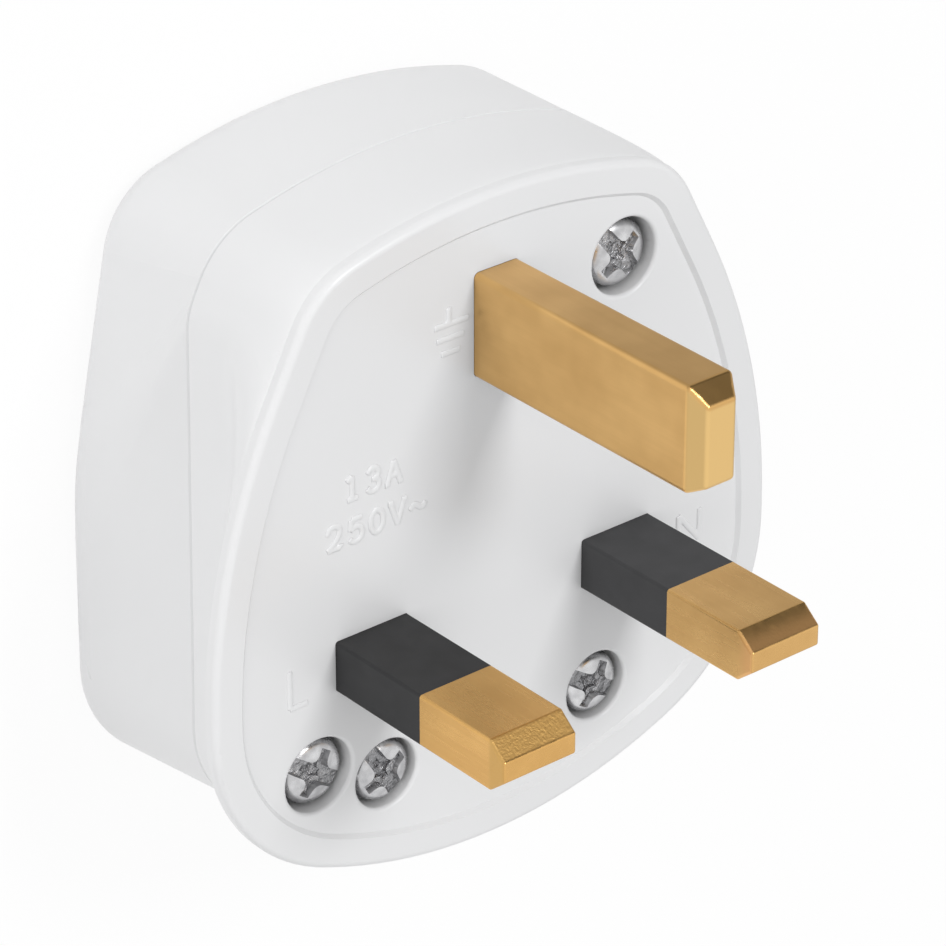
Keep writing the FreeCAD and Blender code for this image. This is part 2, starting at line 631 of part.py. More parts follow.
def make_terminal_screws():
    """Three slotted screws, driven from behind into the terminals."""
    screws = []
    for x, y in ((0, EARTH_Y), (NEUTRAL_X, LIVE_Y), (LINE_PILLAR_X, LINE_PILLAR_Y)):
        shank = rod(x, y, TERMINAL_SHANK_DIAMETER, TERMINAL_Z, TERMINAL_Z + TERMINAL_SHANK_LENGTH)
        head_low = TERMINAL_Z - TERMINAL_HEAD_HEIGHT
        head = rod(x, y, TERMINAL_HEAD_DIAMETER, head_low, TERMINAL_Z)
        slot = box(x, y, TERMINAL_HEAD_DIAMETER, SLOT_WIDTH, head_low, head_low + SLOT_DEPTH)
        screws.append(head.cut(slot).fuse(shank).removeSplitter())
    return Part.makeCompound(screws)


def make_cord_grip():
    """Clamp bar across the cord, on the posts of its two screws."""
    low = GRIP_Z - GRIP_THICKNESS
    bar = box(GRIP_X, GRIP_Y, GRIP_SPAN, GRIP_WIDTH, low, GRIP_Z)
    bar = bar.multiFuse([rod(x, GRIP_Y, GRIP_WIDTH, low, GRIP_Z) for x, _ in GRIP_SCREWS])
    half = GRIP_HOLLOW_WIDTH / 2
    hollow_radius = (half ** 2 + GRIP_HOLLOW_DEPTH ** 2) / (2 * GRIP_HOLLOW_DEPTH)
    hollow = Part.makeCylinder(
        hollow_radius, GRIP_WIDTH,
        V(0, GRIP_Y - GRIP_WIDTH / 2, GRIP_Z - GRIP_HOLLOW_DEPTH + hollow_radius), V(0, 1, 0))
    holes = [rod(x, y, GRIP_SHANK_DIAMETER + 2 * THREAD_CLEARANCE, low, GRIP_Z) for x, y in GRIP_SCREWS]
    return bar.removeSplitter().cut([hollow] + holes)


PIECES = {
    "base": make_base,
    "cover": make_cover,
    "earth_pin": make_earth_pin,
    "neutral_pin": make_neutral_pin,
    "line_pin": make_line_pin,
    "neutral_sleeve": lambda: make_sleeve(NEUTRAL_X),
    "line_sleeve": lambda: make_sleeve(LINE_X),
    "line_terminal": make_line_terminal,
    "line_pin_fuse_clip": lambda: make_clip(LOWER_CAP_Y),
    "terminal_fuse_clip": lambda: make_clip(UPPER_CAP_Y),
    "clip_rivets": make_rivets,
    "fuse_barrel": make_fuse_barrel,
    "fuse_wire": lambda: fuse_core(FUSE_WIRE_DIAMETER),
    "fuse_cap_lower": lambda: make_fuse_cap(FUSE_CENTRE_Y - FUSE_LENGTH / 2, 1),
    "fuse_cap_upper": lambda: make_fuse_cap(FUSE_CENTRE_Y + FUSE_LENGTH / 2, -1),
    "terminal_screws": make_terminal_screws,
    "cord_grip": make_cord_grip,
    "cord_grip_screws": make_grip_screws,
    "cover_screws": make_cover_screws,
    "cover_inserts": make_inserts,
}

os.makedirs("parts", exist_ok=True)
for node, make in PIECES.items():
    shape = make()
    if not shape.isValid():
        raise ValueError(node + " is not a valid solid")
    shape.exportStep("parts/" + node + ".step")
    print(node, len(shape.Solids), round(shape.Volume, 1))
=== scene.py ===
"""Looks of a rewirable UK three pin plug that lies on its back with the pins up.

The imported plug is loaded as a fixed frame. This script lights it, gives every solid its finish, and
adds what the solids leave out: the raised marks of the front panel, the shaped drive recesses of the
screw heads and the threads of their shanks.
"""

import logging
import math
from collections.abc import Callable
from dataclasses import dataclass, field, replace
from enum import Enum
from functools import partial

import bmesh
import bpy
from mathutils import Matrix, Vector


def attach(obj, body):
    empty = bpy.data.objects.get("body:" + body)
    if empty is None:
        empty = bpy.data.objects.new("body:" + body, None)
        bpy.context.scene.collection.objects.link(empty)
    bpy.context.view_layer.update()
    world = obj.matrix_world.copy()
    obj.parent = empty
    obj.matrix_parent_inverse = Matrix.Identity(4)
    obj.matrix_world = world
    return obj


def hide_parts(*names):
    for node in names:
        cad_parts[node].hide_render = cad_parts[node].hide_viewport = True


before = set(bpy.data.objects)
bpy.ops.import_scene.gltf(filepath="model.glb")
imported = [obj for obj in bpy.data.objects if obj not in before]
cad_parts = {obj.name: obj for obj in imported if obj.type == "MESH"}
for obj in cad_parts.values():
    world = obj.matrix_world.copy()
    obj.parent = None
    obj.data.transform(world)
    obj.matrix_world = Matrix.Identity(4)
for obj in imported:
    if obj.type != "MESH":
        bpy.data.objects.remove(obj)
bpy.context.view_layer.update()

LOG = logging.getLogger("plug")

Socket = bpy.types.NodeSocket
Edge = bmesh.types.BMEdge
Face = bmesh.types.BMFace
Colour = tuple[float, float, float]
Place = tuple[float, float, float]
Spot = tuple[float, float]
Stroke = tuple[Spot, ...]

MM = 0.001
UPRIGHT: Place = (0.0, 0.0, 1.0)
# Places closer than this count as one, in millimetres
NEAR = 1e-4
# A face that turns this much towards an axis faces that way
FACING = 0.9
QUAD_CORNERS = 4
# Level above the whole plug, in millimetres: a zone that starts there takes in nothing
ABOVE_ALL = 30.0

# Finer layers of each noise, and how strong they are
CLOUD_LAYERS: Spot = (2.0, 0.5)
FINE_LAYERS: Spot = (3.0, 0.55)
SLOW_LAYERS: Spot = (1.0, 0.5)
LINE_LAYERS: Spot = (5.0, 0.65)
# Part of the line noise that shows as lines
LINE_BAND: Spot = (0.35, 0.68)
# Share of the fine noise in a grain, and the middle of the grain's height
FINE_SHARE = 0.35
GRAIN_MIDDLE = 0.5 + 0.5 * FINE_SHARE
# Painted shade in crevices: how open a crevice is where the painted shade is darkest and where it fades out,
# its colour and the rays that measure the openness
PAINTED_SHADE_BAND: Spot = (0.1, 0.8)
PAINTED_SHADE_COLOUR: Colour = (0.2, 0.2, 0.2)
PAINTED_SHADE_SAMPLES = 8

# Sockets of the mix node: its share, its two values, its two colours and its mixed colour
MIX_SHARE = 0
MIX_VALUES = (2, 3)
MIX_COLOURS = (6, 7)
MIXED_COLOUR = 2


class Slot(Enum):
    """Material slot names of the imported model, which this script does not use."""

    MOULDING = "white_moulding"
    PLATING = "screw_plating"


class Effect(Enum):
    """Shader groups that more than one finish uses."""

    MOTTLE = "soft mottle"
    GRAIN = "fine grain"
    STREAKS = "draw streaks"
    LEVEL = "level mask"


class Element(Enum):
    """Kinds of mesh element that a step can pick, each with the name of its list."""

    FACE = "faces"
    EDGE = "edges"


def deselect_all() -> None:
    """Leaves edit mode and leaves no object selected."""
    if bpy.context.object is not None and bpy.context.object.mode != "OBJECT":
        bpy.ops.object.mode_set(mode="OBJECT")
    bpy.ops.object.select_all(action="DESELECT")


def activate(piece: bpy.types.Object) -> None:
    """Makes one object the only selected and the active one.

    Args:
        piece: the object to work on.
    """
    deselect_all()
    piece.select_set(True)
    bpy.context.view_layer.objects.active = piece


def apply_modifier(piece: bpy.types.Object, kind: str, **settings: object) -> None:
    """Adds a modifier to a piece and applies it.

    Args:
        piece: the object that takes the modifier.
        kind: Blender's identifier of the modifier.
        settings: its properties.
    """
    activate(piece)
    modifier = piece.modifiers.new(kind.lower(), kind)
    for name, value in settings.items():
        setattr(modifier, name, value)
    bpy.ops.object.modifier_apply(modifier=modifier.name)


def pick(piece: bpy.types.Object, kind: Element, test: Callable[[Edge | Face], bool]) -> None:
    """Selects only those faces or edges of a piece in edit mode that pass a test.

    Args:
        piece: the object in edit mode.
        kind: the kind of element.
        test: tells whether an element is wanted.
    """
    bpy.ops.mesh.select_mode(type=kind.name)
    bpy.ops.mesh.select_all(action="DESELECT")
    form = bmesh.from_edit_mesh(piece.data)
    form.normal_update()
    for element in getattr(form, kind.value):
        if test(element):
            element.select_set(True)
    bmesh.update_edit_mesh(piece.data)


def settle(piece: bpy.types.Object, place: Place, turn: float, crease: float) -> None:
    """Brings a piece modelled in millimetres to its place in metres, with its place in its mesh.

    Args:
        piece: the finished object, modelled round the origin.
        place: where its origin goes, in millimetres.
        turn: its turn about the upright, in degrees.
        crease: the angle from which an edge stays sharp, in degrees.
    """
    activate(piece)
    upright = Matrix.Rotation(math.radians(turn), 4, "Z")
    piece.matrix_world = Matrix.Scale(MM, 4) @ Matrix.Translation(place) @ upright
    bpy.ops.object.transform_apply(location=True, rotation=True, scale=True)
    bpy.ops.object.shade_smooth_by_angle(angle=math.radians(crease))


@dataclass
class NodeBoard:
    """Places and joins the nodes of one tree."""

    tree: bpy.types.NodeTree
    step: float = 190.0

    def add(
        self, kind: str, inputs: dict[str | int, object] | None = None, **settings: object
    ) -> bpy.types.Node:
        """Adds a node, sets it and fills its sockets.

        Args:
            kind: Blender's identifier of the node.
            inputs: values or output sockets by the name or number of the input socket.
            settings: properties of the node.
        Returns:
            The new node.
        """
        node = self.tree.nodes.new(kind)
        node.location = (self.step * len(self.tree.nodes), 0.0)
        for name, value in settings.items():
            setattr(node, name, value)
        for name, value in (inputs or {}).items():
            if isinstance(value, Socket):
                self.tree.links.new(value, node.inputs[name])
            else:
                node.inputs[name].default_value = value
        return node

    def noise(self, vector: Socket, scale: object, layers: Spot) -> Socket:
        """Adds a noise and gives its value.

        Args:
            vector: the coordinates it reads.
            scale: features to a metre, a number or a socket.
            layers: how many finer layers it has, and how strong they are.
        Returns:
            The noise value's socket.
        """
        inputs = {"Vector": vector, "Scale": scale, "Detail": layers[0], "Roughness": layers[1]}
        return self.add("ShaderNodeTexNoise", inputs).outputs[0]

    def remap(self, value: Socket, low: object, high: object, to_low: object, to_high: object) -> Socket:
        """Stretches a value from one range to another, smoothly and within its ends.

        Args:
            value: the socket to stretch.
            low: the start of its range.
            high: the end of its range.
            to_low: what the start becomes.
            to_high: what the end becomes.
        Returns:
            The stretched value's socket.
        """
        ends = {"From Min": low, "From Max": high, "To Min": to_low, "To Max": to_high}
        inputs = {"Value": value, **ends}
        return self.add("ShaderNodeMapRange", inputs, interpolation_type="SMOOTHSTEP").outputs[0]

    def math(self, operation: str, *values: object) -> Socket:
        """Joins values by one sum.

        Args:
            operation: Blender's name of the sum.
            values: its numbers or sockets, in order.
        Returns:
            The result's socket.
        """
        return self.add("ShaderNodeMath", dict(enumerate(values)), operation=operation).outputs[0]

    def mix(self, share: object, first: object, second: object) -> Socket:
        """Mixes two values.

        Args:
            share: how much of the second value there is.
            first: a number or socket.
            second: a number or socket.
        Returns:
            The mixed value's socket.
        """
        inputs = {MIX_SHARE: share, MIX_VALUES[0]: first, MIX_VALUES[1]: second}
        return self.add("ShaderNodeMix", inputs, data_type="FLOAT").outputs[0]

    def along(self, vector: Socket, direction: object) -> Socket:
        """Measures a vector along a direction.

        Args:
            vector: the socket to measure.
            direction: the direction or its socket, of length one.
        Returns:
            The length's socket.
        """
        inputs = {0: vector, 1: direction}
        return self.add("ShaderNodeVectorMath", inputs, operation="DOT_PRODUCT").outputs["Value"]

    def blend(self, share: object, first: object, second: object) -> Socket:
        """Mixes two colours.

        Args:
            share: how much of the second colour there is.
            first: a colour or socket.
            second: a colour or socket.
        Returns:
            The mixed colour's socket.
        """
        inputs = {MIX_SHARE: share, MIX_COLOURS[0]: first, MIX_COLOURS[1]: second}
        return self.add("ShaderNodeMix", inputs, data_type="RGBA").outputs[MIXED_COLOUR]


def rgba(colour: Colour) -> tuple[float, float, float, float]:
    """Gives a colour its alpha."""
    return (*colour, 1.0)


class Effects:
    """Builds the shared shader groups once and places them in materials."""

    def __init__(self) -> None:
        """Builds all groups."""
        self.groups = {
            Effect.MOTTLE: self.build_mottle(),
            Effect.GRAIN: self.build_grain(),
            Effect.STREAKS: self.build_streaks(),
            Effect.LEVEL: self.build_level(),
        }

    def start(
        self, effect: Effect, takes: dict[str, str], gives: dict[str, str]
    ) -> tuple[NodeBoard, bpy.types.Node, bpy.types.Node]:
        """Starts a group with its named sockets.

        Args:
            effect: the group to start.
            takes: input names with the kind of socket.
            gives: output names with the kind of socket.
        Returns:
            The board of the group, its input node and its output node.
        """
        tree = bpy.data.node_groups.new(effect.value, "ShaderNodeTree")
        for name, kind in takes.items():
            tree.interface.new_socket(name, in_out="INPUT", socket_type=kind)
        for name, kind in gives.items():
            tree.interface.new_socket(name, in_out="OUTPUT", socket_type=kind)
        board = NodeBoard(tree)
        return board, board.add("NodeGroupInput"), board.add("NodeGroupOutput")

    def build_mottle(self) -> bpy.types.NodeTree:
        """Builds the cloudy change between two colours that a moulded or cast surface has.

        Returns:
            The group.
        """
        takes = {"Light": "NodeSocketColor", "Dark": "NodeSocketColor", "Scale": "NodeSocketFloat"}
        gives = {"Colour": "NodeSocketColor", "Mask": "NodeSocketFloat"}
        board, given, result = self.start(Effect.MOTTLE, takes, gives)
        place = board.add("ShaderNodeTexCoord").outputs["Object"]
        cloud = board.noise(place, given.outputs["Scale"], CLOUD_LAYERS)
        mask = board.remap(cloud, 0.0, 1.0, 0.0, 1.0)
        colour = board.blend(mask, given.outputs["Light"], given.outputs["Dark"])
        board.tree.links.new(colour, result.inputs["Colour"])
        board.tree.links.new(mask, result.inputs["Mask"])
        return board.tree

    def build_grain(self) -> bpy.types.NodeTree:
        """Builds the fine uneven height of a surface.

        Returns:
            The group.
        """
        takes = {"Scale": "NodeSocketFloat", "Wave": "NodeSocketFloat"}
        board, given, result = self.start(Effect.GRAIN, takes, {"Height": "NodeSocketFloat"})
        place = board.add("ShaderNodeTexCoord").outputs["Object"]
        fine = board.noise(place, given.outputs["Scale"], FINE_LAYERS)
        slow = board.noise(place, given.outputs["Wave"], SLOW_LAYERS)
        height = board.math("ADD", board.math("MULTIPLY", fine, FINE_SHARE), slow)
        board.tree.links.new(height, result.inputs["Height"])
        return board.tree

    def build_streaks(self) -> bpy.types.NodeTree:
        """Builds the fine lines that working leaves on a metal, long where the stretch is small.

        Returns:
            The group.
        """
        takes = {"Scale": "NodeSocketFloat", "Stretch": "NodeSocketVector"}
        gives = {"Mask": "NodeSocketFloat", "Height": "NodeSocketFloat"}
        board, given, result = self.start(Effect.STREAKS, takes, gives)
        place = board.add("ShaderNodeTexCoord").outputs["Object"]
        inputs = {"Vector": place, "Scale": given.outputs["Stretch"]}
        drawn = board.add("ShaderNodeMapping", inputs).outputs[0]
        lines = board.noise(drawn, given.outputs["Scale"], LINE_LAYERS)
        mask = board.remap(lines, *LINE_BAND, 0.0, 1.0)
        board.tree.links.new(mask, result.inputs["Mask"])
        board.tree.links.new(lines, result.inputs["Height"])
        return board.tree

    def build_level(self) -> bpy.types.NodeTree:
        """Builds the soft mask of what lies past a level along a direction.

        Returns:
            The group.
        """
        takes = {"From": "NodeSocketFloat", "To": "NodeSocketFloat", "Direction": "NodeSocketVector"}
        board, given, result = self.start(Effect.LEVEL, takes, {"Mask": "NodeSocketFloat"})
        place = board.add("ShaderNodeTexCoord").outputs["Object"]
        reach = board.along(place, given.outputs["Direction"])
        mask = board.remap(reach, given.outputs["From"], given.outputs["To"], 0.0, 1.0)
        board.tree.links.new(mask, result.inputs["Mask"])
        return board.tree

    def place(self, board: NodeBoard, effect: Effect, inputs: dict[str, object]) -> bpy.types.Node:
        """Places a group in a material.

        Args:
            board: the board of the material.
            effect: the group to place.
            inputs: its values or sockets by name.
        Returns:
            The group node.
        """
        return board.add("ShaderNodeGroup", inputs, node_tree=self.groups[effect])


def start_material(name: str) -> tuple[NodeBoard, bpy.types.Node, bpy.types.Material]:
    """Starts a material with its main shader.

    Args:
        name: the material's name.
    Returns:
        The board of the material, its main shader and the material.
    """
    material = bpy.data.materials.new(name)
    material.use_nodes = True
    board = NodeBoard(material.node_tree)
    return board, material.node_tree.nodes["Principled BSDF"], material


@dataclass(frozen=True)
class MouldedFinish:
    """A moulded or fired surface: cloudy colour, uneven gloss, a fine skin and painted shade in its crevices.

    Scales count features to a metre, the grain's depth is in metres and the reach of the painted crevice
    shade in millimetres.
    """

    name: str
    light: Colour
    dark: Colour
    mottle_scale: float
    gloss: Spot
    grain_scale: float
    wave_scale: float
    grain_depth: float
    specular: float = 0.5
    # Strength and reach of the painted shade in crevices
    painted_crevice_shade: float = 0.0
    painted_shade_reach: float = 1.8

    def make(self, effects: Effects) -> bpy.types.Material:
        """Makes the material.

        Args:
            effects: the shared shader groups.
        Returns:
            The material.
        """
        board, shader, material = start_material(self.name)
        inputs = {"Light": rgba(self.light), "Dark": rgba(self.dark), "Scale": self.mottle_scale}
        mottle = effects.place(board, Effect.MOTTLE, inputs)
        colour = mottle.outputs["Colour"]
        # Painted shade: the base colour darkens towards the shade colour where ambient occlusion finds close
        # surfaces, in crevices, recesses and round the pins
        if self.painted_crevice_shade:
            inputs = {"Distance": self.painted_shade_reach * MM}
            shelter = board.add("ShaderNodeAmbientOcclusion", inputs, samples=PAINTED_SHADE_SAMPLES)
            painted_shade_share = board.remap(shelter.outputs["AO"], *PAINTED_SHADE_BAND, self.painted_crevice_shade, 0.0)
            colour = board.blend(painted_shade_share, colour, rgba(PAINTED_SHADE_COLOUR))
        board.tree.links.new(colour, shader.inputs["Base Color"])
        rough = board.remap(mottle.outputs["Mask"], 0.0, 1.0, *self.gloss)
        board.tree.links.new(rough, shader.inputs["Roughness"])
        grain = effects.place(board, Effect.GRAIN, {"Scale": self.grain_scale, "Wave": self.wave_scale})
        inputs = {"Height": grain.outputs["Height"], "Strength": 1.0, "Distance": self.grain_depth}
        bump = board.add("ShaderNodeBump", inputs)
        board.tree.links.new(bump.outputs[0], shader.inputs["Normal"])
        shader.inputs["Specular IOR Level"].default_value = self.specular
        return material


@dataclass(frozen=True)
class MetalFinish:
    """A bare or plated metal: tarnish clouds, working lines and one rougher zone with its own colour, which
    on the pin tips is partly worn brass and partly painted light, and on the screws painted shade in the
    drive recess.

    Scales count features to a metre, and the streaks' depth is in metres. The zone begins where the height
    passes rough_start and ends where the place along rough_end_way passes rough_end, both in millimetres.
    """

    name: str
    light: Colour
    dark: Colour
    mottle_scale: float
    gloss: Spot
    streak_scale: float
    streak_stretch: Place
    streak_depth: float
    streak_shade: float
    rough_start: Spot = (ABOVE_ALL, ABOVE_ALL + 1.0)
    rough_end: Spot = (ABOVE_ALL + 1.0, ABOVE_ALL)
    rough_end_way: Place = UPRIGHT
    # Colour of the rough zone: partly wear and partly painted light and shade
    wear_and_painted_shading: Colour = (0.5, 0.5, 0.5)
    rough_gloss: float = 0.35
    rough_grain: float = 0.0
    rough_scale: Spot = (6000.0, 1500.0)
    bounce: float = 0.5

    def level(self, band: Spot, way: Place) -> dict[str, object]:
        """Gives the level mask's inputs for a band along a direction."""
        return {"From": band[0] * MM, "To": band[1] * MM, "Direction": way}

    def make(self, effects: Effects) -> bpy.types.Material:
        """Makes the material.

        Args:
            effects: the shared shader groups.
        Returns:
            The material.
        """
        board, shader, material = start_material(self.name)
        shader.inputs["Metallic"].default_value = 1.0
        inputs = {"Light": rgba(self.light), "Dark": rgba(self.dark), "Scale": self.mottle_scale}
        mottle = effects.place(board, Effect.MOTTLE, inputs)
        inputs = {"Scale": self.streak_scale, "Stretch": self.streak_stretch}
        streaks = effects.place(board, Effect.STREAKS, inputs)
        start = effects.place(board, Effect.LEVEL, self.level(self.rough_start, UPRIGHT))
        end = effects.place(board, Effect.LEVEL, self.level(self.rough_end, self.rough_end_way))
        # Mask of the rough zone, which also carries its painted light and shade
        rough = board.math("MULTIPLY", start.outputs["Mask"], end.outputs["Mask"])
        shade = board.math("MULTIPLY", streaks.outputs["Mask"], self.streak_shade)
        drawn = board.blend(shade, mottle.outputs["Colour"], rgba(self.dark))
        # The rough zone's colour: on the pin tips partly worn brass and partly painted light that stands in
        # for their reflections; on the screws painted shade in the drive recess
        worn_and_painted = board.blend(rough, drawn, rgba(self.wear_and_painted_shading))
        thrown = board.add("ShaderNodeLightPath").outputs["Is Diffuse Ray"]
        colour = board.blend(thrown, worn_and_painted, rgba((self.bounce,) * 3))
        board.tree.links.new(colour, shader.inputs["Base Color"])
        polish = board.remap(streaks.outputs["Mask"], 0.0, 1.0, *self.gloss)
        polish = board.mix(rough, polish, self.rough_gloss)
        board.tree.links.new(polish, shader.inputs["Roughness"])
        fine, wave = self.rough_scale
        grain = effects.place(board, Effect.GRAIN, {"Scale": fine, "Wave": wave})
        evened = board.math("SUBTRACT", grain.outputs["Height"], GRAIN_MIDDLE)
        coarse = board.math("MULTIPLY", evened, rough)
        height = board.math("MULTIPLY_ADD", coarse, self.rough_grain, streaks.outputs["Height"])
        inputs = {"Height": height, "Strength": 1.0, "Distance": self.streak_depth}
        bump = board.add("ShaderNodeBump", inputs)
        board.tree.links.new(bump.outputs[0], shader.inputs["Normal"])
        return material


# The white moulding carries painted shade in its crevices, screw wells and round the pin roots
WHITE = MouldedFinish(
    name="white moulding", light=(0.80, 0.802, 0.808), dark=(0.776, 0.778, 0.785), mottle_scale=60.0,
    gloss=(0.29, 0.36), grain_scale=2600.0, wave_scale=260.0, grain_depth=0.4e-6,
    specular=0.45, painted_crevice_shade=0.36, painted_shade_reach=1.5,
)
SLEEVE = MouldedFinish(
    name="dark sleeve", light=(0.036, 0.036, 0.038), dark=(0.031, 0.031, 0.033), mottle_scale=420.0,
    gloss=(0.50, 0.58), grain_scale=5200.0, wave_scale=900.0, grain_depth=2.5e-6,
)
# Painted shade: a darker copy of the same black sleeve finish for the line sleeve
SHADED_LINE_SLEEVE = replace(
    SLEEVE, name="dark line sleeve", light=(0.016, 0.016, 0.017), dark=(0.013, 0.013, 0.014),
)
CERAMIC = MouldedFinish(
    name="fuse ceramic", light=(0.74, 0.72, 0.66), dark=(0.66, 0.63, 0.57), mottle_scale=500.0,
    gloss=(0.55, 0.72), grain_scale=4200.0, wave_scale=700.0, grain_depth=6.0e-6,
)
NYLON = MouldedFinish(
    name="grip nylon", light=(0.77, 0.77, 0.76), dark=(0.71, 0.71, 0.70), mottle_scale=300.0,
    gloss=(0.38, 0.50), grain_scale=3000.0, wave_scale=500.0, grain_depth=4.0e-6,
)
PIN_BRASS = MetalFinish(
    name="pin brass", light=(0.84, 0.525, 0.205), dark=(0.66, 0.39, 0.14), mottle_scale=260.0,
    gloss=(0.25, 0.33), streak_scale=1500.0, streak_stretch=(1.0, 1.0, 0.05), streak_depth=1.2e-6,
    streak_shade=0.22, rough_scale=(15000.0, 5000.0),
)
# Partly painted light: the lighter colour on the side chamfers and nose, kept off the top chamfer, stands in
# for how they catch the light, over a real rough tip
EARTH_BRASS = replace(
    PIN_BRASS, name="earth pin brass", gloss=(0.28, 0.30), rough_start=(21.0, 21.3), rough_end=(-25.5, -25.3),
    rough_end_way=(0.0, -0.7071, -0.7071), wear_and_painted_shading=(0.82, 0.55, 0.225), rough_gloss=0.3, rough_grain=6.0,
)
# Partly painted light: the chamfer's reddish brown stands in for its dark reflection, over a real rough tip
NEUTRAL_BRASS = replace(
    PIN_BRASS, name="neutral pin brass", rough_start=(15.9, 17.3), rough_end=(17.58, 17.45),
    wear_and_painted_shading=(0.80, 0.455, 0.185), rough_gloss=0.39, rough_grain=6.0,
)
# Painted shade: the line pin's brass is a darker copy of the same pin brass, and its chamfer colour stands in
# for its lighting, over a real scratched, rough tip
SHADED_LINE_BRASS = replace(
    PIN_BRASS, name="line pin brass", light=(0.81, 0.485, 0.17), dark=(0.66, 0.38, 0.125),
    rough_start=(15.9, 16.3), rough_end=(17.56, 17.4), wear_and_painted_shading=(0.71, 0.445, 0.155), rough_gloss=0.52,
    rough_grain=26.0,
)
TERMINAL_BRASS = MetalFinish(
    name="terminal brass", light=(0.70, 0.49, 0.22), dark=(0.55, 0.36, 0.13), mottle_scale=300.0,
    gloss=(0.24, 0.42), streak_scale=1200.0, streak_stretch=(1.0, 0.08, 1.0), streak_depth=2.0e-6,
    streak_shade=0.4,
)
NICKEL = MetalFinish(
    name="fuse cap nickel", light=(0.74, 0.72, 0.66), dark=(0.60, 0.57, 0.50), mottle_scale=320.0,
    gloss=(0.22, 0.36), streak_scale=1400.0, streak_stretch=(1.0, 0.06, 1.0), streak_depth=1.5e-6,
    streak_shade=0.4,
)
# Painted shade: below the rough_start level the plating turns dark, darkening the drive recess and the head's
# sides in the panel's well
COVER_PLATING = MetalFinish(
    name="cover screw plating", light=(0.84, 0.84, 0.85), dark=(0.40, 0.40, 0.41), mottle_scale=850.0,
    gloss=(0.24, 0.4), streak_scale=900.0, streak_stretch=(1.0, 1.0, 1.0), streak_depth=9.0e-6,
    streak_shade=0.45, rough_start=(-1.05, -1.45), wear_and_painted_shading=(0.37, 0.37, 0.38), rough_gloss=0.26,
    rough_grain=42.0,
)
# Painted shade: the same dark drive recess, set to the grip screws' shallower heads
GRIP_PLATING = replace(
    COVER_PLATING, name="grip screw plating", rough_start=(-0.8, -1.2), wear_and_painted_shading=(0.29, 0.29, 0.30),
    rough_gloss=0.22,
)


@dataclass(frozen=True)
class Lamp:
    """A soft square lamp that points at the plug, in millimetres and watts."""

    name: str
    place: Place
    size: float
    power: float
    mirrored: bool = True

    def build(self) -> None:
        """Builds the lamp."""
        lamp = bpy.data.lights.new(self.name, "AREA")
        lamp.size = self.size * MM
        lamp.energy = self.power
        holder = bpy.data.objects.new(self.name, lamp)
        bpy.context.scene.collection.objects.link(holder)
        aim = (-Vector(self.place)).to_track_quat("-Z", "Y").to_matrix().to_4x4()
        holder.matrix_world = Matrix.Translation(Vector(self.place) * MM) @ aim
        holder.visible_glossy = self.mirrored


